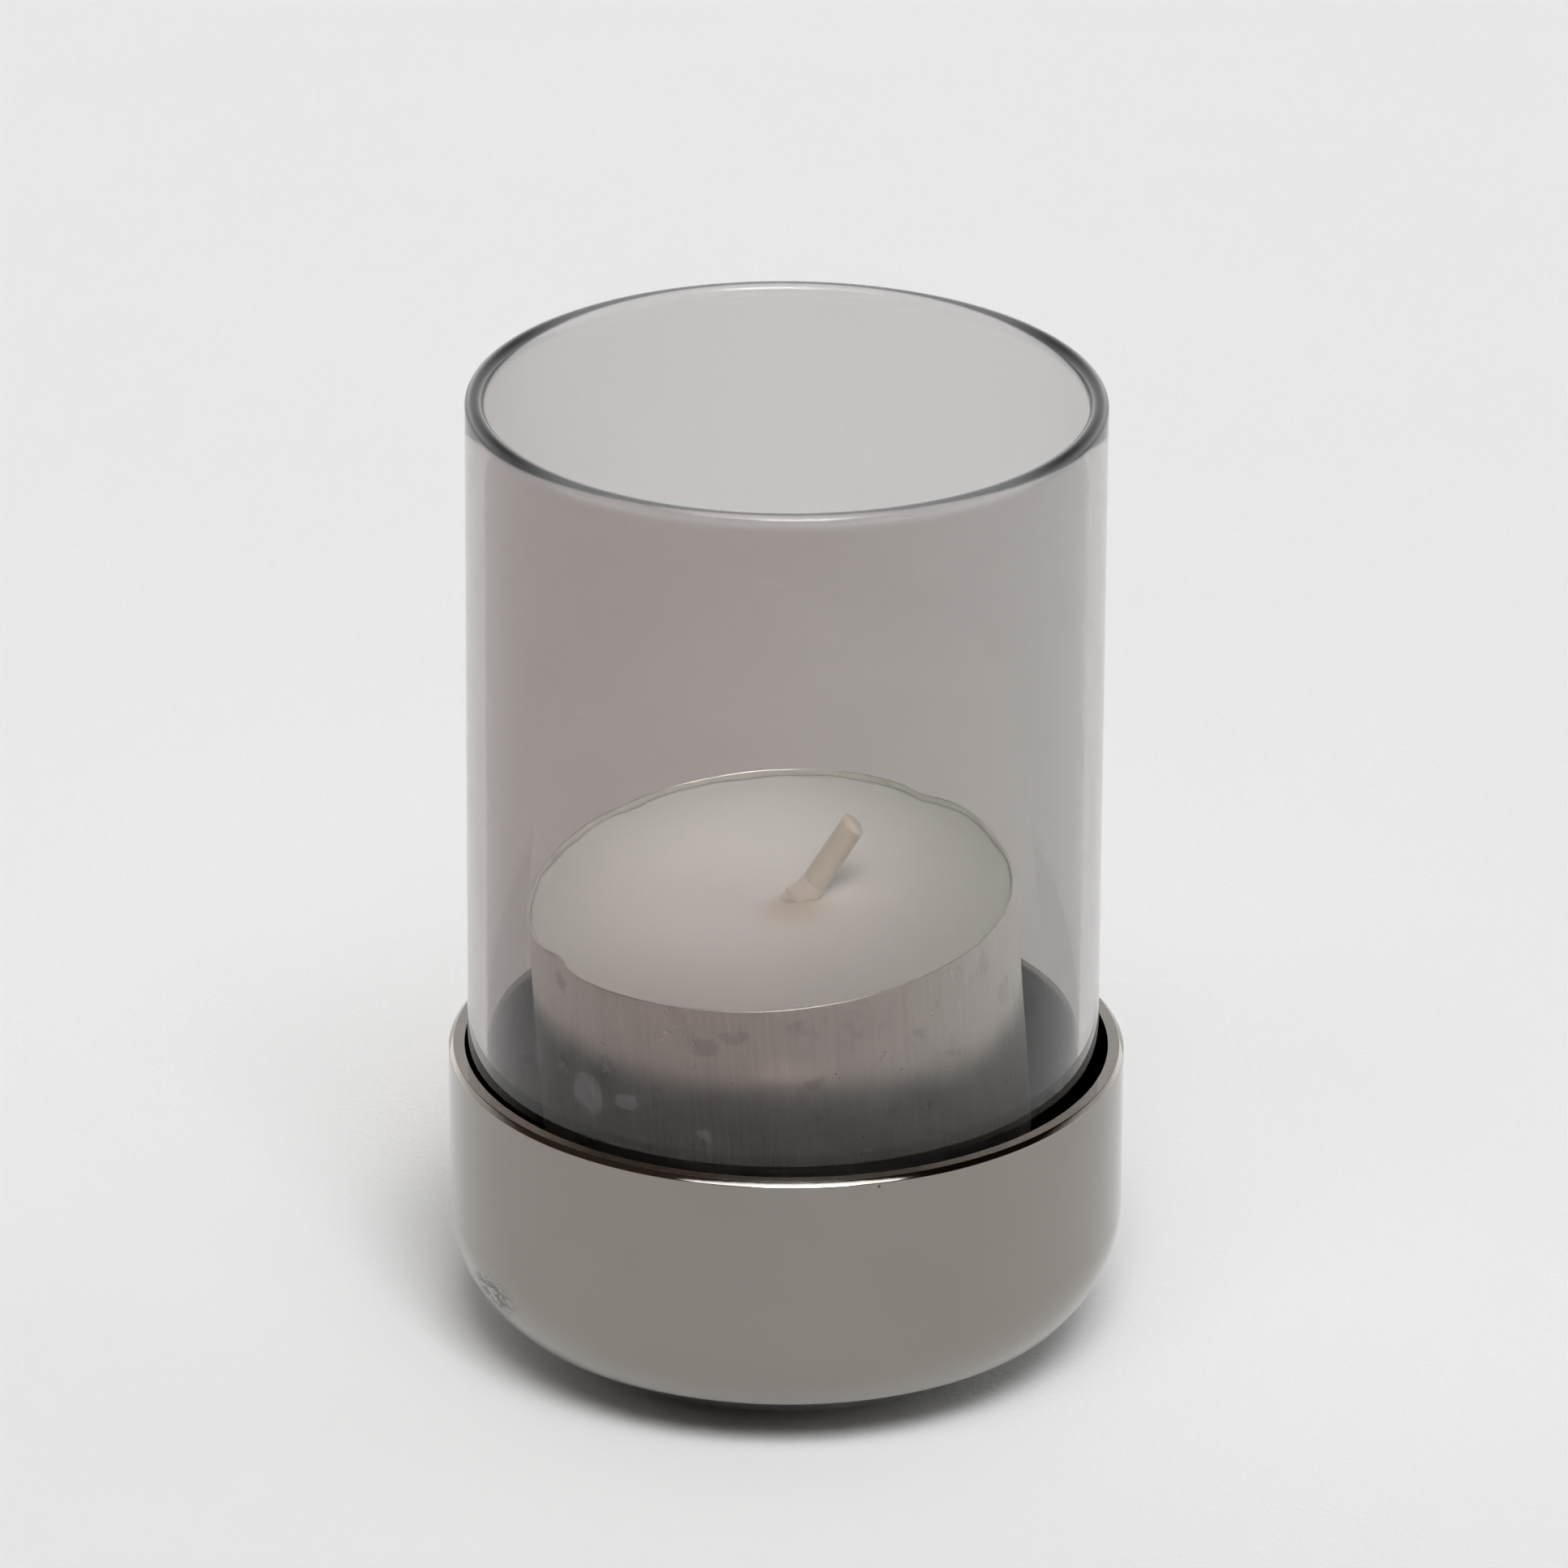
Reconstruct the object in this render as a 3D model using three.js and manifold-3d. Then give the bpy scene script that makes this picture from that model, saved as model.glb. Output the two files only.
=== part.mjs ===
// Tealight holder: a weighted metal cup, a smoked glass standing loose in it, and a tealight in the glass.
// Millimetres, +Z up. The origin is the centre of the foot pad's underside, on the table.

import * as THREE from 'three';
import { mergeVertices } from 'three/addons/utils/BufferGeometryUtils.js';
import Module from 'manifold-3d';

const wasm = await Module();
wasm.setup();

// Driving dimensions
const sides = 48;                    // flat sides on each round surface
const smallSides = 24;               // flat sides on the wick and its foot

const footThickness = 0.6;
const footRadius = 12.8;
const footEdge = 0.15;

const baseRadius = 26.75;
const baseWall = 1.25;
const baseHeight = 24.6;
const baseChamfer = 0.35;
const cornerWidth = 13.2;            // the rounded lower edge is a quarter of an ellipse
const cornerHeight = 11.2;

const ballastGap = 0.3;
const ballastTop = 6.4;
const ballastChamfer = 0.6;
const ballastFootInset = 0.9;        // its flat underside stops short of the cup's, clear of the facets

const seatThickness = 1.0;
const seatRadius = 15.0;
const seatEdge = 0.2;

const glassRadius = 25.0;
const glassWall = 1.5;
const glassTop = 80.2;
const glassShift = -0.26;            // the glass stands loose, a little to one side of the cup's centre
const glassFloor = 3.0;
const glassHeel = 13.0;              // the glass's foot is well rounded, outside and inside
const glassInnerHeel = 14.0;
const puntRadius = 9.0;              // hollow under the glass's foot
const puntRise = 0.8;

const candleRadius = 19.3;           // at the rim
const candleFootRadius = 19.5;
const candleHeight = 24.0;
const foil = 0.35;
const foilHeel = 1.4;
const candleBottom = new THREE.Vector3(0.39, 1.89, 15.02);
const candleLean = new THREE.Vector3(Math.tan(-4.1 * Math.PI / 180), Math.tan(-5.72 * Math.PI / 180), 1);
const fit = 0.3;                     // clearance between the tealight's own pieces

const waxTop = 23.3;
const waxMeniscus = 0.35;            // the wax climbs a little where it meets the foil

const wickRadius = 0.95;
const wickFoot = new THREE.Vector3(1.5, -0.5, 1.3);
const wickExit = new THREE.Vector3(2.5, -0.9, waxTop);
const wickTip = new THREE.Vector3(6.9, -0.2, waxTop + 6.1);

const tinRadius = 6.2;
const tinThickness = 0.3;
const tinCollarHeight = 3.2;
const tinCollarWall = 0.35;

const ballastBottom = footThickness + baseWall;
const seatTop = ballastTop + seatThickness;
const floorInside = seatTop + glassFloor;

// Points along an arc of an ellipse in the radius-height plane, from one angle to another, in degrees
function arc(centreR, centreZ, radiusR, radiusZ, from, to, steps) {
  const points = [];
  for (let i = 0; i <= steps; i += 1) {
    const angle = THREE.MathUtils.degToRad(from + (to - from) * i / steps);
    points.push([centreR + radiusR * Math.cos(angle), centreZ + radiusZ * Math.sin(angle)]);
  }
  return points;
}

// Points along a shallow dome from the axis to its edge
function dome(edgeRadius, edgeZ, rise, steps) {
  const ball = (edgeRadius ** 2 + rise ** 2) / (2 * rise);
  const points = [];
  for (let i = 0; i <= steps; i += 1) {
    const r = edgeRadius * i / steps;
    points.push([r, edgeZ + rise - ball + Math.sqrt(ball ** 2 - r ** 2)]);
  }
  return points;
}

// A solid of revolution about +Z, from a profile that runs anticlockwise in the radius-height plane
function turned(profile, around = sides) {
  const outline = profile
    .filter(([r, z], i) => i === 0 || Math.hypot(r - profile[i - 1][0], z - profile[i - 1][1]) > 1e-6)
    .map(([r, z]) => new THREE.Vector2(Math.abs(r) < 1e-9 ? 0 : r, z));
  return new THREE.LatheGeometry(outline, around).rotateX(Math.PI / 2);
}

// A flat disc with a small chamfer round both of its edges
function disc(radius, bottom, thickness, edge) {
  const top = bottom + thickness;
  return turned([
    [0, bottom], [radius - edge, bottom], [radius, bottom + edge],
    [radius, top - edge], [radius - edge, top], [0, top],
  ]);
}

function toSolid(geometry) {
  const bare = geometry.clone();
  bare.deleteAttribute('normal');
  bare.deleteAttribute('uv');
  const merged = mergeVertices(bare, 1e-5);
  return new wasm.Manifold(new wasm.Mesh({
    numProp: 3,
    vertProperties: new Float32Array(merged.attributes.position.array),
    triVerts: new Uint32Array(merged.index.array),
  }));
}

function toGeometry(solid) {
  const mesh = solid.getMesh();
  const geometry = new THREE.BufferGeometry();
  geometry.setAttribute('position', new THREE.BufferAttribute(mesh.vertProperties, 3));
  geometry.setIndex(new THREE.BufferAttribute(mesh.triVerts, 1));
  geometry.computeVertexNormals();
  return geometry;
}

function piece(name, geometry, color, roughness, metalness, extra = {}) {
  const material = new THREE.MeshStandardMaterial({ color, roughness, metalness, ...extra });
  const mesh = new THREE.Mesh(geometry, material);
  mesh.name = name;
  return mesh;
}

// Base: metal cup, its foot pad and the weight inside it

function baseCup() {
  const bottom = footThickness;
  const cornerZ = bottom + cornerHeight;
  const flat = baseRadius - cornerWidth;
  const inner = baseRadius - baseWall;
  return turned([
    [0, bottom],
    ...arc(flat, cornerZ, cornerWidth, cornerHeight, -90, 0, 9),
    [baseRadius, bottom + baseHeight - baseChamfer],
    [baseRadius - baseChamfer, bottom + baseHeight],
    [inner, bottom + baseHeight],
    ...arc(flat, cornerZ, cornerWidth - baseWall, cornerHeight - baseWall, 0, -90, 8),
    [0, ballastBottom],
  ]);
}

function ballastWeight() {
  const flat = baseRadius - cornerWidth;
  const cornerZ = footThickness + cornerHeight;
  const width = cornerWidth - baseWall - ballastGap;
  const height = cornerHeight - baseWall - ballastGap;
  const shoulder = ballastTop - ballastChamfer;
  const end = THREE.MathUtils.radToDeg(Math.asin((shoulder - cornerZ) / height));
  const side = arc(flat, cornerZ, width, height, -90, end, 6);
  return turned([
    [0, ballastBottom],
    [flat - ballastFootInset, ballastBottom],
    ...side,
    [side.at(-1)[0] - ballastChamfer, ballastTop],
    [0, ballastTop],
  ]);
}

// Glass: straight wall, rounded lip, well-rounded foot, flat inside and hollow underneath

function glassCylinder() {
  const inner = glassRadius - glassWall;
  const lip = glassWall / 2;
  return turned([
    ...dome(puntRadius, seatTop, puntRise, 4),
    ...arc(glassRadius - glassHeel, seatTop + glassHeel, glassHeel, glassHeel, -90, 0, 9),
    ...arc(glassRadius - lip, glassTop - lip, lip, lip, 0, 180, 6),
    ...arc(inner - glassInnerHeel, floorInside + glassInnerHeel, glassInnerHeel, glassInnerHeel, 0, -90, 9),
    [0, floorInside],
  ]);
}

// Tealight: foil cup, wax, wick and the wick's tin foot, all in the tealight's own leaning frame

function candleCup() {
  const foot = candleFootRadius - foilHeel;
  const innerHeel = foilHeel - foil;
  return turned([
    [0, 0],
    ...arc(foot, foilHeel, foilHeel, foilHeel, -90, 0, 4),
    ...arc(candleRadius - foil / 2, candleHeight - foil / 2, foil / 2, foil / 2, 0, 180, 4),
    ...arc(foot, foilHeel, innerHeel, innerHeel, 0, -90, 4),
    [0, foil],
  ]);
}

function wickPath() {
  const bend = wickExit.clone().lerp(wickTip, 0.25);
  return new THREE.CatmullRomCurve3([wickFoot, wickExit, bend, wickTip]);
}

function rod(path, radius, steps) {
  const section = new THREE.Shape().absarc(0, 0, radius, 0, Math.PI * 2, false);
  const curveSegments = smallSides / 2;
  return new THREE.ExtrudeGeometry(section, { steps, curveSegments, bevelEnabled: false, extrudePath: path });
}

// A turned foot round the wick, from its bore to its outside, or the room it takes when it has no bore
function tinFoot(bore, spread) {
  const bottom = foil + fit - spread;
  const flange = bottom + tinThickness + 2 * spread;
  const top = bottom + tinCollarHeight + 2 * spread;
  const collar = wickRadius + fit + tinCollarWall + spread;
  const outline = [[bore, bottom], [tinRadius + spread, bottom], [tinRadius + spread, flange]];
  outline.push([collar, flange], [collar, top], [bore, top]);
  if (bore > 0) {
    outline.push([bore, bottom]);
  }
  return turned(outline, smallSides).translate(wickFoot.x, wickFoot.y, 0);
}

function candleWax() {
  const bottom = foil + fit;
  const radius = candleRadius - foil - fit;
  const heel = foilHeel - foil;
  const body = turned([
    [0, bottom],
    ...arc(candleFootRadius - foil - fit - heel, bottom + heel, heel, heel, -90, 0, 4),
    [radius, waxTop + waxMeniscus],
    [radius - waxMeniscus, waxTop + waxMeniscus / 3],
    [radius - 4 * waxMeniscus, waxTop],
    [0, waxTop],
  ]);
  const wickRoom = rod(wickPath(), wickRadius + fit, 20);
  return toGeometry(toSolid(body).subtract(toSolid(wickRoom)).subtract(toSolid(tinFoot(0, fit))));
}

function tealight() {
  const group = new THREE.Group();
  group.position.copy(candleBottom);
  group.quaternion.setFromUnitVectors(new THREE.Vector3(0, 0, 1), candleLean.clone().normalize());
  group.add(
    piece('tealight_cup', candleCup(), 0xb4aca4, 0.45, 1.0),
    piece('tealight_wax', candleWax(), 0xe6e2d6, 0.5, 0.0),
    piece('tealight_wick', rod(wickPath(), wickRadius, 16), 0xd9cfbe, 0.7, 0.0),
    piece('wick_sustainer', tinFoot(wickRadius + fit, 0), 0xb8b8b4, 0.35, 1.0),
  );
  return group;
}

const glass = piece('glass_cylinder', glassCylinder(), 0x8a8380, 0.03, 0.0, { transparent: true, opacity: 0.4 });
glass.position.x = glassShift;

const holder = new THREE.Group();
holder.add(
  piece('foot_pad', disc(footRadius, 0, footThickness, footEdge), 0x1c1c1c, 0.9, 0.0),
  piece('base_cup', baseCup(), 0x9c9690, 0.1, 1.0),
  piece('ballast_weight', ballastWeight(), 0x3a3836, 0.7, 1.0),
  piece('seat_pad', disc(seatRadius, ballastTop, seatThickness, seatEdge), 0x161616, 0.95, 0.0),
  glass,
  tealight(),
);

export default holder;
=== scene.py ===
"""The looks of a tealight holder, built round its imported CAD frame. Lengths are in metres, +Z is up."""

import math

import bmesh
import bpy
import numpy as np
from mathutils import Matrix, Quaternion, Vector, noise


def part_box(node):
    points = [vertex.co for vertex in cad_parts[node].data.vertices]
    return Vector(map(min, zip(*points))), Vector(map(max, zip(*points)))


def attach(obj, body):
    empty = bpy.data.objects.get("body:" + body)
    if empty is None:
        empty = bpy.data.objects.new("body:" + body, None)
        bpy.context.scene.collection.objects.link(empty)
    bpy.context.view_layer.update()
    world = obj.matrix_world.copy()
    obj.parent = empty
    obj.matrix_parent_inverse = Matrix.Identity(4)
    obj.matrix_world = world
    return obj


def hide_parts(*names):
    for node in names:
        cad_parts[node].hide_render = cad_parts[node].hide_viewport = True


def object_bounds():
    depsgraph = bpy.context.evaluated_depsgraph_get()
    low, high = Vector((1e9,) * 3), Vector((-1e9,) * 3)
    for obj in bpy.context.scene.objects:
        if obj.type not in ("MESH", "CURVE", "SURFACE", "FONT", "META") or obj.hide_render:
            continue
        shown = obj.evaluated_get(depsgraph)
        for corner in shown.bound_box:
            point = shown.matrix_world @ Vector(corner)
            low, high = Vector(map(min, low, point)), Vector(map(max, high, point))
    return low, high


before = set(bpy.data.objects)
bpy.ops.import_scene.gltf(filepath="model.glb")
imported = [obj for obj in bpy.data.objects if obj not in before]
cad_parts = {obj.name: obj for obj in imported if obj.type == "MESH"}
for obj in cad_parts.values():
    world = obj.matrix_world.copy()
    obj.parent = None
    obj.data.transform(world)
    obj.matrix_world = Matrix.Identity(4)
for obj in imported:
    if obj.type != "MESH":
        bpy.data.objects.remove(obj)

CAD_LOW, CAD_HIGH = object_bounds()
MM = 0.001

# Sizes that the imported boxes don't give
FIT = 0.3 * MM
EDGE = 0.05 * MM
BASE_WALL = 1.25 * MM
BASE_CHAMFER = 0.35 * MM
BALLAST_CHAMFER = 0.6 * MM
BALLAST_FOOT_INSET = 0.9 * MM
CORNER_WIDTH = 13.2 * MM
CORNER_HEIGHT = 11.2 * MM
GLASS_WALL = 1.5 * MM
GLASS_FLOOR = 3.0 * MM
GLASS_HEEL = 13.0 * MM
GLASS_INNER_HEEL = 14.0 * MM
PUNT_RADIUS = 9.0 * MM
PUNT_RISE = 0.8 * MM
CANDLE_RADIUS = 19.3 * MM
CANDLE_FOOT_RADIUS = 19.5 * MM
CANDLE_HEIGHT = 24.0 * MM
FOIL = 0.2 * MM
FOIL_HEEL = 1.4 * MM
WAX_TOP = CANDLE_HEIGHT - 0.65 * MM
WICK_RADIUS = 0.95 * MM
WICK_FOOT = Vector((1.5, -0.5, 1.3)) * MM
WICK_EXIT = Vector((2.5, -0.9, 23.3)) * MM
WICK_TIP = Vector((6.9, -0.2, 29.4)) * MM
WICK_BEND = 1.2 * MM
TIN_BORE = 1.25 * MM
TIN_COLLAR = 1.6 * MM
TIN_FLANGE = 6.2 * MM
TIN_BOTTOM = 0.65 * MM
TIN_THICKNESS = 0.3 * MM
TIN_HEIGHT = 3.2 * MM

# A darker, rougher, streaked patch low on the cup's left side: where, and how far it reaches along x, y and
# z
LOW_DARK_PATCH = (Vector((-23.0, -12.8, 8.9)) * MM, Vector((4.0, 5.2, 2.4)) * MM)

# Set wax on the outside of the glass: where, and how far it reaches
WAX_DROPS = (
    (Vector((-15.1, -20.0, 29.6)) * MM, 2.4 * MM),
    (Vector((-12.1, -21.9, 29.8)) * MM, 1.4 * MM),
    (Vector((-6.1, -24.3, 27.8)) * MM, 0.8 * MM),
    (Vector((-19.0, -16.2, 31.2)) * MM, 1.0 * MM),
)

# Dark rubbed marks on the foil's side: where, how far each reaches along x, y and z, and how dark
FOIL_MARKS = (
    (Vector((-5.35, -18.65, 20.7)) * MM, Vector((1.8, 2.0, 1.3)) * MM, 0.24),
    (Vector((-3.00, -19.20, 21.7)) * MM, Vector((1.8, 2.0, 0.9)) * MM, 0.20),
    (Vector((3.03, -19.16, 17.2)) * MM, Vector((1.6, 2.0, 0.8)) * MM, 0.24),
    (Vector((11.13, -15.89, 19.2)) * MM, Vector((1.3, 1.6, 0.9)) * MM, 0.20),
    (Vector((17.86, -7.58, 18.0)) * MM, Vector((1.4, 1.6, 1.8)) * MM, 0.18),
    (Vector((-16.63, -9.99, 22.2)) * MM, Vector((2.0, 2.0, 1.4)) * MM, 0.40),
)

# Knocks in the foil's rim: angle in degrees, width in degrees, depth inwards, reach down the side
DENTS = (
    (209, 5, 0.75 * MM, 3.0 * MM),
    (48, 5, 0.65 * MM, 3.0 * MM),
    (54, 12, 0.30 * MM, 4.0 * MM),
    (106, 5, 0.18 * MM, 2.0 * MM),
    (128, 7, 0.14 * MM, 2.0 * MM),
    (20, 6, 0.20 * MM, 2.5 * MM),
)


# Meshes


def arc(centre, radii, start, end, steps):
    """Points along an elliptical arc in the radius-height plane, with angles in degrees."""
    turns = [math.radians(start + (end - start) * i / steps) for i in range(steps + 1)]
    return [(centre[0] + radii[0] * math.cos(a), centre[1] + radii[1] * math.sin(a)) for a in turns]


def line(start, end, steps):
    """Points from start up to but not including end."""
    return [
        (start[0] + (end[0] - start[0]) * i / steps, start[1] + (end[1] - start[1]) * i / steps)
        for i in range(steps)
    ]


def dome(edge, rise, steps):
    """Points of a shallow dome from the axis out to its edge point."""
    ball = (edge[0] ** 2 + rise**2) / (2 * rise)
    top = edge[1] + rise
    radii = [edge[0] * i / steps for i in range(steps + 1)]
    return [(r, top - ball + math.sqrt(ball**2 - r**2)) for r in radii]


def softened(corners, radius, steps=4):
    """A profile whose corners, all but its two ends, become small curves that start radius away."""
    points = [corners[0]]
    for before, at, after in zip(corners, corners[1:], corners[2:]):
        a, b, c = Vector(before), Vector(at), Vector(after)
        start = b + (a - b).normalized() * min(radius, (a - b).length / 2)
        end = b + (c - b).normalized() * min(radius, (c - b).length / 2)
        for i in range(steps + 1):
            t = i / steps
            points.append(tuple(start.lerp(b, t).lerp(b.lerp(end, t), t)))
    return points + [corners[-1]]


def round_noise(angle, fineness, height):
    """Smooth noise round a circle, from -1 to 1, different at each height."""
    return noise.noise(Vector((math.cos(angle) * fineness, math.sin(angle) * fineness, height)))


def turned(name, profile, around, move=None):
    """A smooth solid of revolution about Z. move may shift each point, given its angle."""
    mesh = bmesh.new()
    rings = []
    for r, z in profile:
        count = 1 if r < 1e-9 else around
        ring = []
        for i in range(count):
            angle = 2 * math.pi * i / around
            point = Vector((r * math.cos(angle), r * math.sin(angle), z))
            ring.append(mesh.verts.new(move(point, angle) if move else point))
        rings.append(ring)
    for low, high in zip(rings, rings[1:] + rings[:1]):
        if len(low) == 1 and len(high) == 1:
            continue
        for i in range(around):
            j = (i + 1) % around
            corners = [low[i % len(low)], low[j % len(low)], high[j % len(high)], high[i % len(high)]]
            mesh.faces.new(list(dict.fromkeys(corners)))
    return finished(name, mesh)


def finished(name, mesh):
    """Turns a bmesh into a smooth-shaded object in the scene."""
    bmesh.ops.recalc_face_normals(mesh, faces=mesh.faces)
    for face in mesh.faces:
        face.smooth = True
    data = bpy.data.meshes.new(name)
    mesh.to_mesh(data)
    mesh.free()
    obj = bpy.data.objects.new(name, data)
    bpy.context.scene.collection.objects.link(obj)
    return obj


def keep_flats(obj):
    """Shades the flat faces flat and lets the small ones between them carry the turn."""
    obj.modifiers.new("FlatFaces", "WEIGHTED_NORMAL").keep_sharp = True


def add_piece(obj, cad_node, body, material, place=None):
    """Puts a piece in place, gives it its material and makes it stand for its CAD node, if it has one."""
    if place is not None:
        obj.matrix_world = place
    obj.data.materials.append(material)
    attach(obj, body)
    if cad_node:
        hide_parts(cad_node)
    return obj


def size_of(cad_node):
    """A round CAD node's centre, radius, bottom and top."""
    low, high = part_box(cad_node)
    return (low + high) / 2, (high.x - low.x) / 2, low.z, high.z


def leaning_place(cad_node):
    """Where a round, leaning CAD cup stands, found from its rim: on its own axis, at its bottom."""
    points = np.array([v.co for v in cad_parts[cad_node].data.vertices], float)
    rim = points[points[:, 2] > (points[:, 2].min() + points[:, 2].max()) / 2]
    centre = rim.mean(0)
    axis = np.linalg.eigh(np.cov((rim - centre).T))[1][:, 0]
    axis *= np.sign(axis[2])
    heights = (points - centre) @ axis
    bottom = Vector(centre + axis * heights.min())
    turn = Vector((0, 0, 1)).rotation_difference(Vector(axis))
    return Matrix.Translation(bottom) @ turn.to_matrix().to_4x4()


# Material nodes


def node(tree, kind, inputs=None, **settings):
    """Adds a shader node. An input's value may be a number, a colour or another node's output."""
    made = tree.nodes.new("ShaderNode" + kind)
    for key, value in settings.items():
        setattr(made, key, value)
    for key, value in (inputs or {}).items():
        if isinstance(value, bpy.types.NodeSocket):
            tree.links.new(value, made.inputs[key])
        else:
            made.inputs[key].default_value = value
    return made


def new_material(name):
    """An empty material: its tree and its output node."""
    material = bpy.data.materials.new(name)
    material.use_nodes = True
    tree = material.node_tree
    tree.nodes.clear()
    return material, tree, node(tree, "OutputMaterial")


def principled(material, tree, out, wanted):
    """Gives a material a Principled surface with the wanted inputs."""
    shader = node(tree, "BsdfPrincipled", wanted)
    tree.links.new(shader.outputs[0], out.inputs["Surface"])
    return material


def place_in(tree, scale=(1, 1, 1)):
    """The piece's own coordinates in metres, scaled."""
    where = node(tree, "TexCoord").outputs["Object"]
    return node(tree, "Mapping", {"Vector": where, "Scale": scale}).outputs[0]


def grain(tree, where, scale, detail=3.0, rough=0.5):
    """Cloudy noise from 0 to 1."""
    wanted = {"Vector": where, "Scale": scale, "Detail": detail, "Roughness": rough}
    return node(tree, "TexNoise", wanted).outputs["Fac"]


def ranged(tree, value, low, high, to_low=0.0, to_high=1.0):
    """value from low..high mapped smoothly to to_low..to_high."""
    wanted = {"Value": value, "From Min": low, "From Max": high, "To Min": to_low, "To Max": to_high}
    return node(tree, "MapRange", wanted, interpolation_type="SMOOTHSTEP").outputs["Result"]


def maths(tree, operation, a, b=0.0, c=0.0):
    """One step of arithmetic on numbers or node outputs."""
    return node(tree, "Math", {0: a, 1: b, 2: c}, operation=operation).outputs[0]


def dot(tree, a, b):
    """How far vector a reaches along vector b."""
    return node(tree, "VectorMath", {0: a, 1: b}, operation="DOT_PRODUCT").outputs["Value"]


def blended(tree, share, a, b):
    """Colour a where share is 0 and colour b where it is 1."""
    mix = node(tree, "Mix", {"Factor": share}, data_type="RGBA")
    for socket, value in ((mix.inputs[6], a), (mix.inputs[7], b)):
        if isinstance(value, bpy.types.NodeSocket):
            tree.links.new(value, socket)
        else:
            socket.default_value = (*value, 1.0)
    return mix.outputs[2]


def specks(tree, where, scale, size, share):
    """Sparse round specks: 1 on a speck, 0 off it. share is how many of the cells hold one."""
    cells = node(tree, "TexVoronoi", {"Vector": where, "Scale": scale}, feature="F1")
    spot = ranged(tree, cells.outputs["Distance"], size, size * 0.6)
    chosen = node(tree, "SeparateColor", {"Color": cells.outputs["Color"]}).outputs[0]
    return maths(tree, "MULTIPLY", spot, maths(tree, "LESS_THAN", chosen, share))


def patch(tree, where, centre, reach):
    """1 at a point of the piece, falling to 0 at reach from it. reach may differ by axis."""
    moved = node(tree, "VectorMath", {0: where, 1: centre}, operation="SUBTRACT").outputs[0]
    scaled = node(tree, "VectorMath", {0: moved, 1: reach}, operation="DIVIDE").outputs[0]
    away = node(tree, "VectorMath", {0: scaled}, operation="LENGTH").outputs["Value"]
    return ranged(tree, away, 1.0, 0.2)


def bump(tree, height, depth, strength=1.0, under=None):
    """Relief of the given depth, over another relief if there is one."""
    wanted = {"Height": height, "Distance": depth, "Strength": strength}
    if under is not None:
        wanted["Normal"] = under
    return node(tree, "Bump", wanted).outputs["Normal"]


def black_nickel():
    """Polished dark plating: faint orange peel, wiped smudges, a few pits, a darker, rougher, streaked
    patch low on one side and painted shade along the bottom edge.
    """
    material, tree, out = new_material("BlackNickel")
    where = place_in(tree)
    cloud = grain(tree, where, 90.0, 4.0)
    smudge = ranged(tree, grain(tree, where, 160.0, 5.0, 0.6), 0.45, 0.75)
    pits = specks(tree, where, 420.0, 0.06, 0.06)
    # A darker, rougher, streaked patch low on the left side.
    patch_streaks = grain(tree, place_in(tree, (2600, 500, 2600)), 1.0, 4.0, 0.75)
    dark_patch_spread = patch(tree, where, *LOW_DARK_PATCH)
    dark_rough_patch = maths(tree, "MULTIPLY", dark_patch_spread, ranged(tree, patch_streaks, 0.47, 0.54))
    tone = blended(tree, cloud, (0.285, 0.262, 0.238), (0.315, 0.292, 0.266))
    tone = blended(tree, pits, tone, (0.10, 0.095, 0.09))
    # Painted shade: the plating darkened towards its bottom edge, standing in for the dark contact shadow
    # that the polished metal reflects there.
    height = node(tree, "SeparateXYZ", {0: where}).outputs["Z"]
    painted_bottom_shade = ranged(tree, height, 6.4 * MM, 3.2 * MM)
    tone = blended(tree, maths(tree, "MULTIPLY", painted_bottom_shade, 0.35), tone, (0.03, 0.03, 0.035))
    tone = blended(tree, maths(tree, "MULTIPLY", dark_rough_patch, 0.8), tone, (0.08, 0.078, 0.075))
    rough = maths(tree, "ADD", maths(tree, "MULTIPLY", smudge, 0.05), 0.07)
    rough = maths(tree, "ADD", rough, maths(tree, "MULTIPLY", dark_rough_patch, 0.3))
    peel = bump(tree, grain(tree, where, 1100.0, 2.0), 0.012 * MM, 0.5)
    relief = bump(tree, maths(tree, "ADD", pits, dark_rough_patch), -0.03 * MM, 0.6, peel)
    wanted = {"Base Color": tone, "Metallic": 1.0, "Roughness": rough, "Normal": relief}
    return principled(material, tree, out, wanted)


def ragged(tree, where):
    """Coordinates shaken a little, so that the outline of a patch comes out uneven."""
    cloud = node(tree, "TexNoise", {"Vector": where, "Scale": 700.0, "Detail": 4.0}).outputs["Color"]
    centred = node(tree, "VectorMath", {0: cloud, 1: (0.5, 0.5, 0.5)}, operation="SUBTRACT").outputs[0]
    shift = node(tree, "VectorMath", {0: centred, 3: 2.4 * MM}, operation="SCALE").outputs[0]
    return node(tree, "VectorMath", {0: where, 1: shift}, operation="ADD").outputs[0]


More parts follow.
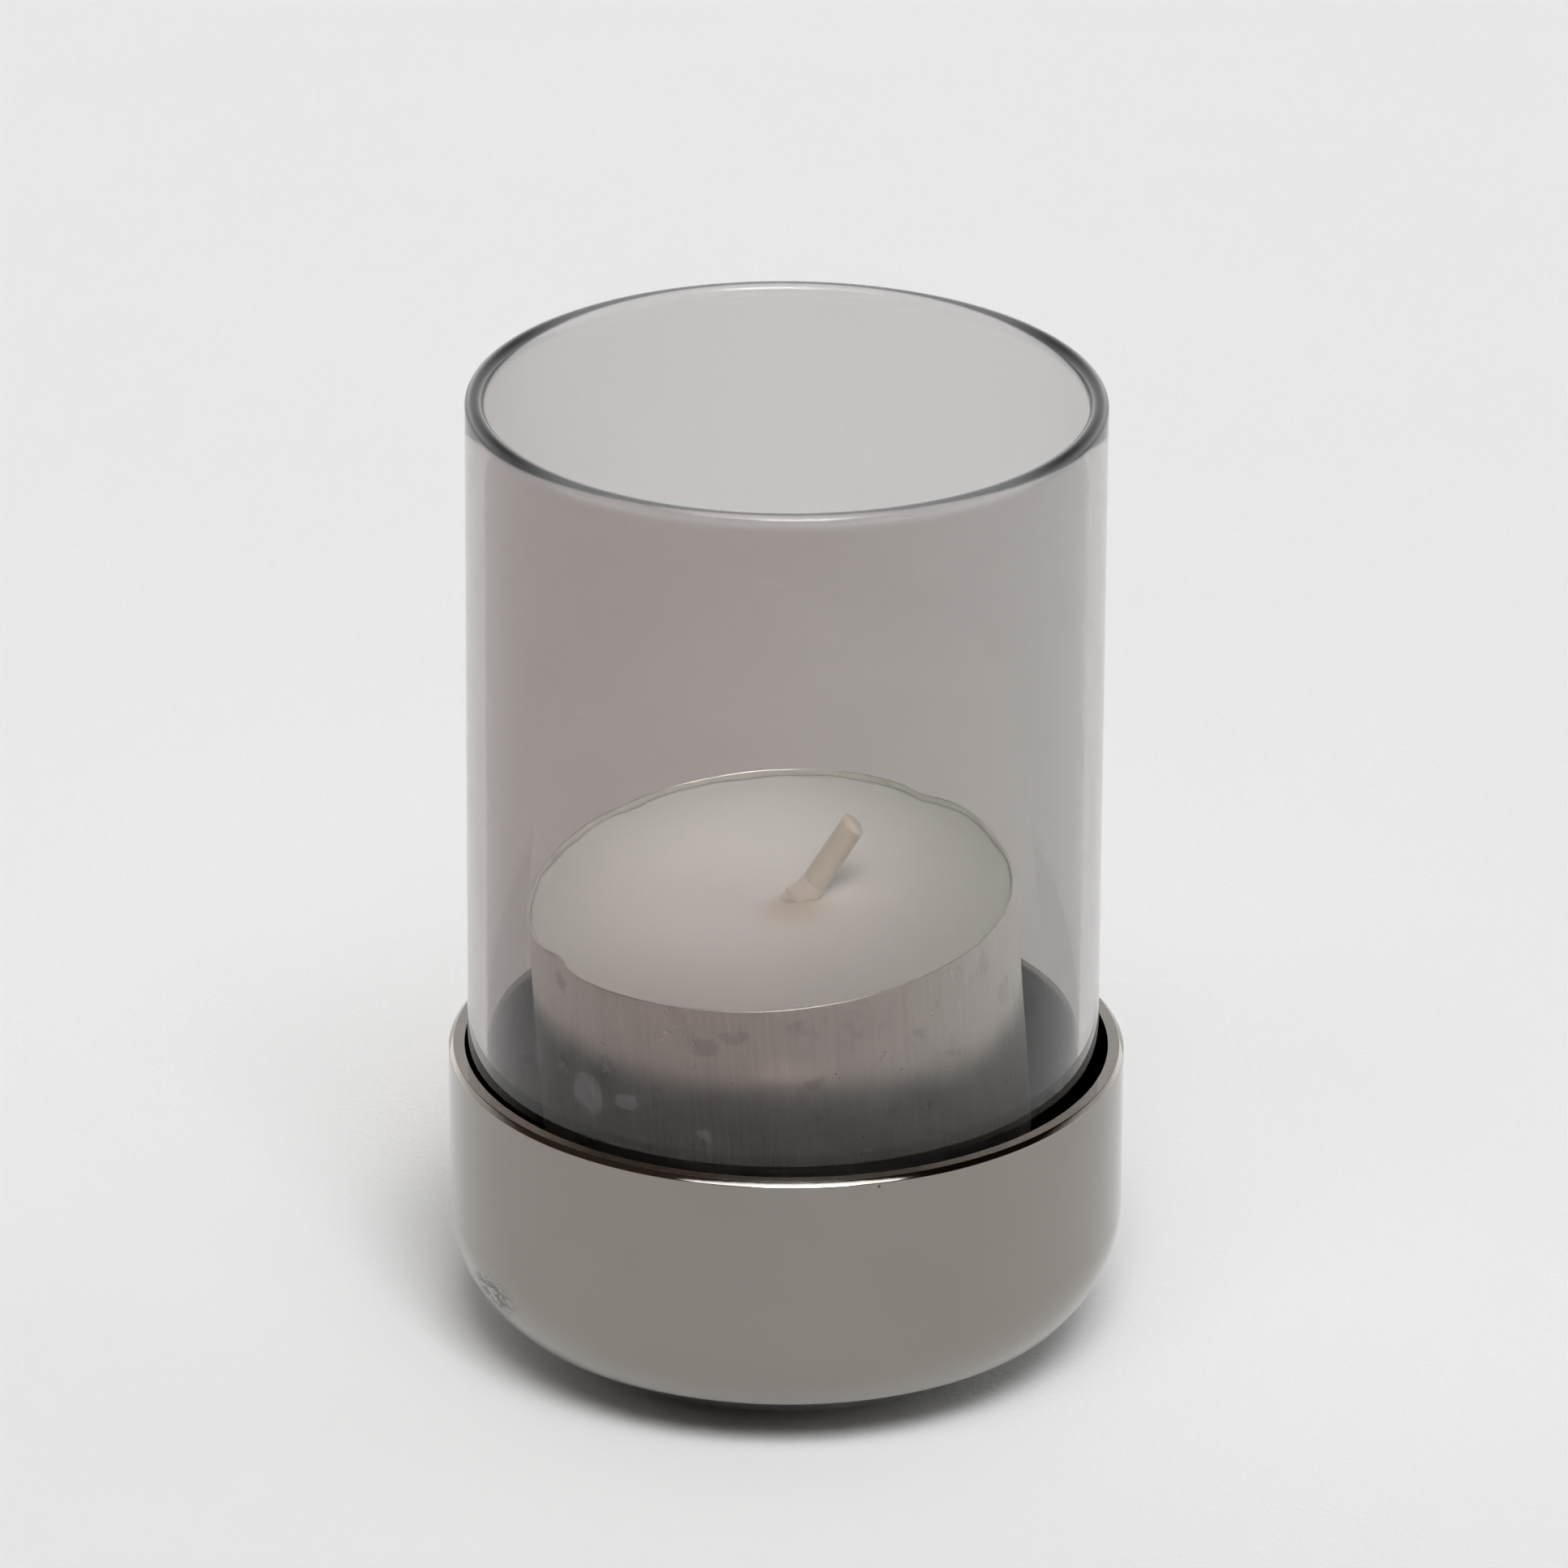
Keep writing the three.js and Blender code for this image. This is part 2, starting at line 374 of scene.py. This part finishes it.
def smoked_glass(radius, top):
    """Smoke-grey glass, denser and warmer on one side, with painted shade on the lip's left and right
    sides, dust, smears and set wax.
    """
    material, tree, out = new_material("SmokedGlass")
    where = place_in(tree)
    side = dot(tree, where, (-0.45, -0.89, 0.0))
    share = maths(tree, "MULTIPLY_ADD", side, 0.5 / radius, 0.5)
    share = maths(tree, "POWER", maths(tree, "MAXIMUM", share, 0.0), 1.4)
    tint = blended(tree, share, (0.772, 0.763, 0.753), (0.585, 0.528, 0.512))
    waves = bump(tree, grain(tree, where, 70.0, 2.0), 0.02 * MM, 0.35)
    smear = ranged(tree, grain(tree, where, 120.0, 5.0, 0.65), 0.55, 0.8)
    parts = node(tree, "SeparateXYZ", {0: where})
    lip = ranged(tree, parts.outputs["Z"], top - 1.3 * MM, top - 0.6 * MM)
    to_side = ranged(tree, maths(tree, "ABSOLUTE", parts.outputs["X"]), 0.60 * radius, 0.94 * radius)
    # Painted shade: the lip's tint darkened at its left and right sides, where it is seen edge-on.
    tint = blended(tree, maths(tree, "MULTIPLY", lip, to_side), tint, (0.34, 0.35, 0.36))
    wanted = {
        "Base Color": tint,
        "Roughness": maths(tree, "MULTIPLY_ADD", smear, 0.02, maths(tree, "MULTIPLY", lip, 0.2)),
        "IOR": 1.47,
        "Transmission Weight": 1.0,
        "Normal": waves,
    }
    glass = node(tree, "BsdfPrincipled", wanted)
    dust = node(tree, "BsdfDiffuse", {"Color": (0.75, 0.75, 0.76, 1), "Roughness": 1.0})
    dusted = maths(tree, "MULTIPLY", specks(tree, where, 260.0, 0.035, 0.10), 0.6)
    shaken = ragged(tree, where)
    for spot, reach in WAX_DROPS:
        drop = ranged(tree, patch(tree, shaken, spot, (reach, reach, reach)), 0.3, 0.5, 0.0, 0.055)
        dusted = maths(tree, "MAXIMUM", dusted, drop)
    haze = maths(tree, "MULTIPLY", lip, ranged(tree, to_side, 0.0, 1.0, 0.20, 0.02))
    dusted = maths(tree, "MAXIMUM", dusted, haze)
    dusty = node(tree, "MixShader", {0: dusted, 1: glass.outputs[0], 2: dust.outputs[0]})
    clear = node(tree, "BsdfTransparent", {"Color": (0.97, 0.965, 0.96, 1)})
    lamp = node(tree, "LightPath").outputs["Is Shadow Ray"]
    seen = node(tree, "MixShader", {0: lamp, 1: dusty.outputs[0], 2: clear.outputs[0]})
    tree.links.new(seen.outputs[0], out.inputs["Surface"])
    smoke = node(tree, "VolumeAbsorption", {"Color": (0.60, 0.585, 0.575, 1), "Density": 130.0})
    tree.links.new(smoke.outputs[0], out.inputs["Volume"])
    return material


def drawn_foil():
    """Thin aluminium with fine draw lines up its side, wax smears and small knocks."""
    material, tree, out = new_material("DrawnFoil")
    where = place_in(tree)
    lines = grain(tree, place_in(tree, (3200, 3200, 60)), 1.0, 3.0, 0.7)
    broad = grain(tree, place_in(tree, (500, 500, 160)), 1.0, 3.0, 0.6)
    mottle = grain(tree, where, 260.0, 5.0, 0.65)
    knocks = specks(tree, where, 330.0, 0.11, 0.10)
    tone = blended(tree, broad, (0.80, 0.81, 0.765), (0.94, 0.95, 0.905))
    tone = blended(tree, ranged(tree, mottle, 0.55, 0.8), tone, (0.62, 0.625, 0.595))
    tone = blended(tree, maths(tree, "MULTIPLY", knocks, 0.3), tone, (0.35, 0.34, 0.33))
    shaken = ragged(tree, where)
    for spot, reach, depth in FOIL_MARKS:
        mark = ranged(tree, patch(tree, shaken, spot, reach), 0.2, 0.9, 0.0, depth)
        tone = blended(tree, mark, tone, (0.24, 0.23, 0.225))
    rough = ranged(tree, mottle, 0.3, 0.7, 0.27, 0.35)
    fine = bump(tree, lines, 0.05 * MM, 0.8)
    tone = blended(tree, ranged(tree, lines, 0.35, 0.65, 0.09, 0.0), tone, (0.30, 0.295, 0.28))
    relief = bump(tree, maths(tree, "SUBTRACT", mottle, knocks), 0.015 * MM, 0.5, fine)
    wanted = {"Base Color": tone, "Metallic": 1.0, "Roughness": rough, "Normal": relief}
    return principled(material, tree, out, wanted)


def candle_wax():
    """Soft white wax, warmer towards one side, with painted light at the back-left fading to painted shade
    towards the foil, and browner round the wick's foot.
    """
    material, tree, out = new_material("CandleWax")
    where = place_in(tree)
    cloud = grain(tree, where, 120.0, 4.0, 0.6)
    # A browner patch round the wick's foot, mostly in front of it.
    brown_spot_at = WICK_EXIT + Vector((-0.6, -1.6, 0)) * MM
    brown_spot = patch(tree, where, brown_spot_at, Vector((4.2, 3.4, 4.0)) * MM)
    warm = ranged(tree, dot(tree, where, (0.6, -0.8, 0.0)), -10 * MM, 20 * MM)
    tone = blended(tree, cloud, (0.725, 0.75, 0.73), (0.785, 0.81, 0.785))
    tone = blended(tree, maths(tree, "MULTIPLY", warm, 0.8), tone, (0.72, 0.735, 0.655))
    # Painted light and shade: brightest at the back-left, where light falls in through the open top, and
    # darker towards the foil on the right and front, where light comes through the smoked glass.
    painted_light_at = Vector((-4 * MM, 2 * MM, WAX_TOP))
    lit = patch(tree, where, painted_light_at, Vector((24.5, 24.0, 30.0)) * MM)
    tone = blended(tree, lit, (0.45, 0.465, 0.43), tone)
    tone = blended(tree, maths(tree, "MULTIPLY", brown_spot, 0.55), tone, (0.60, 0.50, 0.40))
    tone = blended(tree, specks(tree, where, 300.0, 0.04, 0.08), tone, (0.35, 0.30, 0.26))
    relief = bump(tree, grain(tree, where, 700.0, 4.0, 0.6), 0.04 * MM, 0.5)
    wanted = {
        "Base Color": tone,
        "Roughness": ranged(tree, cloud, 0.3, 0.7, 0.42, 0.55),
        "Subsurface Weight": 0.6,
        "Subsurface Radius": (1.0, 0.95, 0.85),
        "Subsurface Scale": 1.6 * MM,
        "Normal": relief,
    }
    return principled(material, tree, out, wanted)


def waxed_cotton():
    """A cream braided wick under a skin of wax."""
    material, tree, out = new_material("WaxedCotton")
    where = place_in(tree)
    strands = grain(tree, place_in(tree, (3000, 3000, 900)), 1.0, 3.0)
    tone = blended(tree, strands, (0.60, 0.565, 0.48), (0.70, 0.67, 0.585))
    relief = bump(tree, strands, 0.03 * MM, 0.5)
    wanted = {
        "Base Color": tone,
        "Roughness": ranged(tree, strands, 0.3, 0.7, 0.34, 0.46),
        "Subsurface Weight": 0.35,
        "Subsurface Radius": (1.0, 0.8, 0.6),
        "Subsurface Scale": 0.6 * MM,
        "Normal": relief,
    }
    return principled(material, tree, out, wanted)


def grained(name, dark, light, rough, scale, depth, metal=0.0):
    """A rough material with an all-over grain, for felt, foam, cast iron and tin."""
    material, tree, out = new_material(name)
    where = place_in(tree)
    fine = grain(tree, where, scale, 5.0, 0.7)
    broad = grain(tree, where, scale / 12, 3.0)
    tone = blended(tree, maths(tree, "MULTIPLY", maths(tree, "ADD", fine, broad), 0.5), dark, light)
    wanted = {
        "Base Color": tone,
        "Metallic": metal,
        "Roughness": ranged(tree, broad, 0.3, 0.7, rough - 0.06, min(rough + 0.06, 1.0)),
        "Normal": bump(tree, fine, depth, 0.8),
    }
    return principled(material, tree, out, wanted)


# Pieces


def disc(name, radius, bottom, top, edge, fuzz, steps=60):
    """A soft disc with rounded edges and a slightly uneven surface, fine enough to show its nap."""
    middle = (bottom + top) / 2
    nap = 1.1 * MM
    outline = softened([(0, bottom), (radius, bottom), (radius, top), (0, top)], edge)
    fine = [outline[0]]
    for start, end in zip(outline, outline[1:]):
        is_face = abs(end[0] - start[0]) > radius / 2
        fine += line(start, end, steps if is_face else 1)[1:] + [end]

    def uneven(point, angle):
        inward = abs(noise.noise(point / nap)) * fuzz
        point.z -= math.copysign(inward, point.z - middle)
        return point

    return turned(name, fine, 128, uneven)


def under_curve(centre, radii, steps):
    """The quarter of an ellipse under the cup, pulled towards a chord part of the way up."""
    pull = 0.75
    start, end = (Vector(point) for point in arc(centre, radii, -69, -39, 1))
    along = (end - start).normalized()
    points = []
    for point in arc(centre, radii, -90, 0, steps):
        away = Vector(point) - start
        reach = away.dot(along)
        if 0 < reach < (end - start).length:
            away -= (away - along * reach) * pull
        points.append(tuple(start + away))
    return points


def base_cup():
    """The metal cup: flat foot, elliptical lower edge, straight wall, chamfered rim."""
    _, radius, bottom, top = size_of("base_cup")
    inner = radius - BASE_WALL
    flat = radius - CORNER_WIDTH
    corner = bottom + CORNER_HEIGHT
    wall_foot = corner + 2 * MM
    inside = (CORNER_WIDTH - BASE_WALL, CORNER_HEIGHT - BASE_WALL)
    chamfer = [(radius, top - BASE_CHAMFER), (radius - BASE_CHAMFER, top)]
    rim = softened([(radius, wall_foot), *chamfer, (inner, top), (inner, wall_foot)], EDGE)
    profile = [(0, bottom)]
    profile += under_curve((flat, corner), (CORNER_WIDTH, CORNER_HEIGHT), 90)
    profile += rim
    profile += arc((flat, corner), inside, 0, -90, 24)
    profile += [(0, bottom + BASE_WALL)]
    obj = turned("base_cup_shell", profile, 256)
    keep_flats(obj)
    return obj


def ballast():
    """The cast weight in the bottom of the cup."""
    _, _, bottom, top = size_of("ballast_weight")
    _, cup_radius, cup_bottom, _ = size_of("base_cup")
    flat = cup_radius - CORNER_WIDTH
    corner = cup_bottom + CORNER_HEIGHT
    width = CORNER_WIDTH - BASE_WALL - FIT
    height = CORNER_HEIGHT - BASE_WALL - FIT
    end = math.degrees(math.asin((top - BALLAST_CHAMFER - corner) / height))
    side = arc((flat, corner), (width, height), -90, end, 24)
    foot = [(0, bottom), (flat - BALLAST_FOOT_INSET, bottom), side[0]]
    shoulder = [side[-1], (side[-1][0] - BALLAST_CHAMFER, top), (0, top)]
    profile = softened(foot, EDGE)[:-1] + side[:-1] + softened(shoulder, 4 * EDGE)
    obj = turned("ballast_casting", profile, 128)
    keep_flats(obj)
    return obj


def glass():
    """The smoked glass: rounded foot, hollow underneath, straight wall and fire-polished lip."""
    centre, radius, bottom, top = size_of("glass_cylinder")
    inner = radius - GLASS_WALL
    lip = GLASS_WALL / 2
    floor = bottom + GLASS_FLOOR
    heel = (GLASS_HEEL, GLASS_HEEL)
    inner_heel = (GLASS_INNER_HEEL, GLASS_INNER_HEEL)
    outer = arc((radius - GLASS_HEEL, bottom + GLASS_HEEL), heel, -90, 0, 32)
    edge = arc((radius - lip, top - lip), (lip, lip), 0, 180, 24)
    bore = arc((inner - GLASS_INNER_HEEL, floor + GLASS_INNER_HEEL), inner_heel, 0, -90, 32)
    profile = dome((PUNT_RADIUS, bottom), PUNT_RISE, 16)
    profile += outer[:-1] + line(outer[-1], edge[0], 30)
    profile += edge[:-1] + line(edge[-1], bore[0], 30)
    profile += bore[:-1] + line(bore[-1], (0, floor), 8) + [(0, floor)]
    obj = turned("glass_tumbler", profile, 256)
    obj.matrix_world = Matrix.Translation((centre.x, centre.y, 0))
    return obj


def knocked(point, angle):
    """Moves a point near the foil's side inwards where the foil is knocked, and ripples its rim."""
    degrees = math.degrees(angle)
    from_axis = math.hypot(point.x, point.y) / CANDLE_RADIUS
    inward = 0.0
    for at, width, depth, reach in DENTS:
        away = (degrees - at + 180) % 360 - 180
        down = (CANDLE_HEIGHT - point.z) / reach
        inward += depth * math.exp(-((away / width) ** 2)) * math.exp(-max(down, 0) ** 1.5)
    inward += 0.05 * MM * (round_noise(angle, 3, point.z / (9 * MM)) + 0.6)
    scale = 1 - inward * from_axis**8 / CANDLE_RADIUS
    lift = 0.07 * MM * round_noise(angle, 5, 7.0) - 0.035 * MM
    near_rim = max(0.0, 1 - (CANDLE_HEIGHT - point.z) / (1.5 * MM)) * (from_axis > 0.98)
    return Vector((point.x * scale, point.y * scale, point.z + lift * near_rim))


def candle_side(height):
    """The foil's outer radius at a height above its foot."""
    return CANDLE_FOOT_RADIUS + (CANDLE_RADIUS - CANDLE_FOOT_RADIUS) * height / CANDLE_HEIGHT


def candle_cup():
    """The tealight's foil cup, with a thin cut rim and a faint groove rolled under it."""
    fold = FOIL / 2
    inner_heel = (FOIL_HEEL - FOIL, FOIL_HEEL - FOIL)
    foot = CANDLE_FOOT_RADIUS - FOIL_HEEL
    side = arc((foot, FOIL_HEEL), (FOIL_HEEL, FOIL_HEEL), -90, 0, 10)
    edge = arc((CANDLE_RADIUS - fold, CANDLE_HEIGHT - fold), (fold, fold), 0, 180, 8)
    back = arc((foot, FOIL_HEEL), inner_heel, 0, -90, 8)
    groove, width, depth = CANDLE_HEIGHT - 0.55 * MM, 0.16 * MM, 0.09 * MM
    wall = line(side[-1], edge[0], 60)
    wall = [(r - depth * math.exp(-(((z - groove) / width) ** 2)), z) for r, z in wall]
    profile = [(0, 0.0)] + side[:-1] + wall + edge[:-1] + line(edge[-1], back[0], 50) + back
    profile += [(0, FOIL)]
    return turned("tealight_foil", profile, 288, knocked)


def mound(away, centre, width, height):
    """The height of a smooth oval mound, at a distance away from the point that it is placed by."""
    across = (away.x - centre[0]) / width[0]
    along = (away.y - centre[1]) / width[1]
    return height * math.exp(-(across**2) - along**2)


def wax_rise(point, angle, radius):
    """How far the wax stands above its level at a point, in millimetres."""
    from_wick = (point.xy - WICK_EXIT.xy) / MM
    from_foil = (point.xy.length - radius) / MM
    meniscus = 0.10 + 0.22 * round_noise(angle, 6, 3.0)
    rise = meniscus * math.exp(-((from_foil / 0.45) ** 2))
    rise += mound(from_wick, (0, 0), (1.5, 1.3), 0.50)
    rise += mound(from_wick, (-0.6, -1.4), (2.6, 2.0), 0.22)
    swells = 0.10 * noise.noise(point / (7 * MM))
    return rise + swells + 0.025 * noise.noise(point / (1.6 * MM))


def candle_wax_body():
    """The wax, tight in its foil: a small meniscus, gentle swells and a mound at the wick."""
    skin = FOIL * 1.02
    heel = FOIL_HEEL - FOIL
    foot = CANDLE_FOOT_RADIUS - skin - heel
    radius = candle_side(WAX_TOP) - skin
    top = line((radius, WAX_TOP), (0, WAX_TOP), 64) + [(0, WAX_TOP)]
    side = arc((foot, skin + heel), (heel, heel), -90, 0, 8)
    profile = [(0, skin)] + side[:-1] + line(side[-1], top[0], 30) + top

    def swelling(point, angle):
        if point.z > WAX_TOP - 0.01 * MM:
            point.z += wax_rise(point, angle, radius) * MM
        return knocked(point, angle)

    return turned("tealight_wax_fill", profile, 288, swelling)


def wick_centre(t):
    """A point on the wick's centre line, and the line's direction there, for t from 0 to 1."""
    rising, leaning = WICK_EXIT - WICK_FOOT, WICK_TIP - WICK_EXIT
    up, over = rising.normalized(), leaning.normalized()
    along = t * (rising.length + leaning.length) - rising.length
    if along < -WICK_BEND:
        return WICK_EXIT + up * along, up
    if along > WICK_BEND:
        return WICK_EXIT + over * along, over
    u = (along + WICK_BEND) / (2 * WICK_BEND)
    start, end = WICK_EXIT - up * WICK_BEND, WICK_EXIT + over * WICK_BEND
    return start.lerp(WICK_EXIT, u).lerp(WICK_EXIT.lerp(end, u), u), up.lerp(over, u).normalized()


def wick_radius(angle, t):
    """The braid's radius at an angle round it and t along it: two crossing twists and some unevenness."""
    braid = 0.035 * math.sin(3 * angle + 46 * t) + 0.025 * math.sin(4 * angle - 58 * t)
    return WICK_RADIUS * (1.07 + 0.3 * braid + 0.03 * round_noise(angle, 1, t * 30))


def wick():
    """The braided wick under its skin of wax, cut at a slant."""
    around, along = 36, 110
    slant = 0.27 * WICK_RADIUS
    mesh = bmesh.new()
    rings = []
    for j in range(along + 1):
        t = j / along
        centre, ahead = wick_centre(t)
        across = ahead.cross(Vector((0, 1, 0))).normalized()
        third = ahead.cross(across)
        ring = []
        for i in range(around):
            angle = 2 * math.pi * i / around
            outwards = across * math.cos(angle) + third * math.sin(angle)
            point = centre + outwards * wick_radius(angle, t)
            if j == along:
                point += ahead * slant * math.cos(angle + 0.6)
            ring.append(mesh.verts.new(point))
        rings.append(ring)
    for low, high in zip(rings, rings[1:]):
        for i in range(around):
            j = (i + 1) % around
            mesh.faces.new([low[i], low[j], high[j], high[i]])
    for ring in (rings[0], rings[-1]):
        hub = mesh.verts.new(sum((v.co for v in ring), Vector()) / around)
        for i in range(around):
            mesh.faces.new([ring[i], ring[(i + 1) % around], hub])
    return finished("tealight_wick_braid", mesh)


def wick_collar():
    """A ragged skirt of set wax where the wick leaves the surface, with a nub on its left."""
    skirt = [(1.9, -1.9), (1.62, -0.9), (1.42, -0.1), (1.25, 0.6), (1.13, 1.3), (1.04, 1.9)]
    profile = softened([(r * MM, z * MM) for r, z in [(0, -2.4), *skirt, (0, 2.0)]], 0.3 * MM)
    nub_angle, nub_spread, nub_height, nub_depth = 180, 20, 0.35, 0.28

    def uneven(point, angle):
        aside = (math.degrees(angle) - nub_angle) / nub_spread
        above = (point.z / MM - nub_height) / nub_depth
        nub = math.exp(-(aside**2)) * math.exp(-(above**2))
        wobble = 1 + 0.07 * noise.noise(point / (0.8 * MM)) + 0.30 * nub
        return Vector((point.x * wobble, point.y * wobble, point.z))

    obj = turned("wick_wax_collar", profile, 64, uneven)
    turn = Vector((0, 0, 1)).rotation_difference(WICK_TIP - WICK_EXIT)
    obj.data.transform(Matrix.Translation(WICK_EXIT) @ turn.to_matrix().to_4x4())
    return obj


def wick_tin():
    """The wick's pressed tin foot: a flat flange with a collar round the wick."""
    flange = TIN_BOTTOM + TIN_THICKNESS
    top = TIN_BOTTOM + TIN_HEIGHT
    outline = [(TIN_BORE, TIN_BOTTOM), (TIN_FLANGE, TIN_BOTTOM), (TIN_FLANGE, flange)]
    outline += [(TIN_COLLAR, flange), (TIN_COLLAR, top), (TIN_BORE, top), (TIN_BORE, flange)]
    obj = turned("wick_tin_foot", softened(outline, 0.08 * MM, 3), 96)
    obj.data.transform(Matrix.Translation((WICK_FOOT.x, WICK_FOOT.y, 0)))
    keep_flats(obj)
    return obj


def build_holder():
    """The metal cup with what is inside it, and the glass."""
    add_piece(base_cup(), "base_cup", "base", black_nickel())
    iron = grained("CastIron", (0.045, 0.042, 0.04), (0.11, 0.10, 0.095), 0.7, 900.0, 0.12 * MM, 0.8)
    add_piece(ballast(), "ballast_weight", "base", iron)
    foam = grained("BlackFoam", (0.012, 0.012, 0.013), (0.035, 0.035, 0.037), 0.9, 2600.0, 0.06 * MM)
    _, radius, bottom, top = size_of("foot_pad")
    foot = disc("foot_pad_foam", radius, bottom, top, 0.15 * MM, 0.02 * MM)
    add_piece(foot, "foot_pad", "base", foam)
    felt = grained("BlackFelt", (0.010, 0.010, 0.011), (0.030, 0.030, 0.032), 0.95, 1800.0, 0.2 * MM)
    _, radius, bottom, top = size_of("seat_pad")
    seat = disc("seat_pad_felt", radius, bottom, top, 0.25 * MM, 0.06 * MM)
    add_piece(seat, "seat_pad", "seat", felt)
    _, radius, _, top = size_of("glass_cylinder")
    add_piece(glass(), "glass_cylinder", "glass", smoked_glass(radius, top))


def build_tealight():
    """The tealight's pieces, all made upright and then put in its leaning place."""
    place = leaning_place("tealight_cup")
    wax = candle_wax()
    tin = grained("Tinplate", (0.50, 0.50, 0.49), (0.66, 0.66, 0.65), 0.35, 1200.0, 0.02 * MM, 1.0)
    add_piece(candle_cup(), "tealight_cup", "tealight", drawn_foil(), place)
    add_piece(candle_wax_body(), "tealight_wax", "tealight", wax, place)
    add_piece(wick(), "tealight_wick", "tealight", waxed_cotton(), place)
    add_piece(wick_collar(), None, "tealight", wax, place)
    add_piece(wick_tin(), "wick_sustainer", "tealight", tin, place)


# Stage, light and camera

# How strong each part of the studio's light is
CORE_LIGHT = 17.8
SPREAD_LIGHT = 3.6
WALL_LIGHT = 0.85
LOW_WALL_LIGHT = 3.3
MIRRORED_SHARE = 0.25
FILL_THROUGH_GLASS = 0.22


def paper_floor():
    """A plain pale paper floor with a faint grain, wider than any view of the holder."""
    material, tree, out = new_material("PaleFloor")
    where = place_in(tree)
    fibre = grain(tree, where, 1500.0, 4.0, 0.6)
    tone = blended(tree, grain(tree, where, 25.0, 3.0), (0.845, 0.848, 0.85), (0.865, 0.868, 0.87))
    wanted = {"Base Color": tone, "Roughness": 0.9, "Normal": bump(tree, fibre, 0.08 * MM, 0.5)}
    principled(material, tree, out, wanted)
    mesh = bmesh.new()
    bmesh.ops.create_circle(mesh, cap_ends=True, segments=96, radius=6.0)
    floor = finished("floor", mesh)
    floor.data.materials.append(material)
    floor.location.z = CAD_LOW.z


def panel(tree, ray, azimuth, elevation, half_width, half_height, soft):
    """A far, soft-edged rectangle: 1 inside it, 0 outside. Angles in degrees, azimuth 0 at the camera."""
    turn, rise = math.radians(azimuth), math.radians(elevation)
    ahead = Vector((math.sin(turn) * math.cos(rise), -math.cos(turn) * math.cos(rise), math.sin(rise)))
    right = Vector((math.cos(turn), math.sin(turn), 0))
    depth = maths(tree, "MAXIMUM", dot(tree, ray, ahead), 0.001)
    mask = 1.0
    for axis, half in ((right, half_width), (right.cross(ahead), half_height)):
        reach = math.tan(math.radians(half))
        off = maths(tree, "DIVIDE", maths(tree, "ABSOLUTE", dot(tree, ray, axis)), depth)
        mask = maths(tree, "MULTIPLY", mask, ranged(tree, off, reach + soft, reach - soft))
    return mask


def studio_world():
    """A soft light above the camera, a pale wall opposite and a dim warm room, shown plain pale grey.

    The low part of the wall is dimmed in reflections and through the glass, as if it were out of their
    reach, and a little even light is added to what is seen through the glass.
    """
    world = bpy.data.worlds.new("Studio")
    world.use_nodes = True
    tree = world.node_tree
    tree.nodes.clear()
    out = node(tree, "OutputWorld")
    ray = node(tree, "TexCoord").outputs["Generated"]
    parts = node(tree, "SeparateXYZ", {0: ray})
    core = panel(tree, ray, azimuth=8.5, elevation=51.2, half_width=12, half_height=8.5, soft=0.05)
    spread = panel(tree, ray, azimuth=4, elevation=60, half_width=26, half_height=7, soft=0.05)
    lit = maths(tree, "MULTIPLY_ADD", core, CORE_LIGHT, maths(tree, "MULTIPLY", spread, SPREAD_LIGHT))
    path = node(tree, "LightPath")
    through = path.outputs["Is Transmission Ray"]
    mirrored = maths(tree, "MAXIMUM", through, path.outputs["Is Glossy Ray"])
    low_wall = ranged(tree, parts.outputs["Z"], 0.34, 0.10, 0.0, LOW_WALL_LIGHT)
    low_wall = maths(tree, "MULTIPLY", low_wall, ranged(tree, mirrored, 0.0, 1.0, 1.0, MIRRORED_SHARE))
    wall = maths(tree, "ADD", low_wall, ranged(tree, parts.outputs["Z"], 0.58, 0.38, 0.0, WALL_LIGHT))
    opposite = ranged(tree, dot(tree, ray, (0.35, 0.94, 0)), -0.30, 0.45)
    wall = maths(tree, "MULTIPLY_ADD", through, FILL_THROUGH_GLASS, maths(tree, "MULTIPLY", wall, opposite))
    light = maths(tree, "ADD", lit, wall)
    left = ranged(tree, parts.outputs["X"], 0.6, -0.6, 0.01, 0.06)
    room = node(tree, "Background", {"Color": (1.0, 0.72, 0.46, 1), "Strength": left})
    lamps = node(tree, "Background", {"Color": (0.985, 0.992, 1.0, 1), "Strength": light})
    both = node(tree, "AddShader", {0: lamps.outputs[0], 1: room.outputs[0]})
    plain = node(tree, "Background", {"Color": (0.81, 0.812, 0.812, 1)})
    seen = path.outputs["Is Camera Ray"]
    mixed = node(tree, "MixShader", {0: seen, 1: both.outputs[0], 2: plain.outputs[0]})
    tree.links.new(mixed.outputs[0], out.inputs["Surface"])
    bpy.context.scene.world = world


def camera():
    """The view from a little above, far off, with a long lens and a slight roll."""
    distance, elevation, roll = 0.994, math.radians(23.543), math.radians(0.344)
    target = Vector((-0.3 * MM, 0, 47.3 * MM))
    back = Vector((0, -math.cos(elevation), math.sin(elevation)))
    data = bpy.data.cameras.new("Camera")
    data.sensor_width = 36.0
    data.lens = 290.4
    data.clip_start, data.clip_end = 0.01, 50.0
    obj = bpy.data.objects.new("Camera", data)
    obj.rotation_mode = "QUATERNION"
    obj.rotation_quaternion = back.to_track_quat("Z", "Y") @ Quaternion((0, 0, 1), roll)
    obj.location = target + back * distance
    bpy.context.scene.collection.objects.link(obj)
    bpy.context.scene.camera = obj


def set_look():
    """Plain colours, and enough bounces for the glass."""
    scene = bpy.context.scene
    scene.view_settings.view_transform = "Standard"
    scene.view_settings.look = "None"
    scene.cycles.max_bounces = 24
    scene.cycles.transmission_bounces = 24
    scene.cycles.glossy_bounces = 10
    scene.cycles.transparent_max_bounces = 16
    scene.cycles.sample_clamp_indirect = 8.0


build_holder()
build_tealight()
paper_floor()
studio_world()
camera()
set_look()
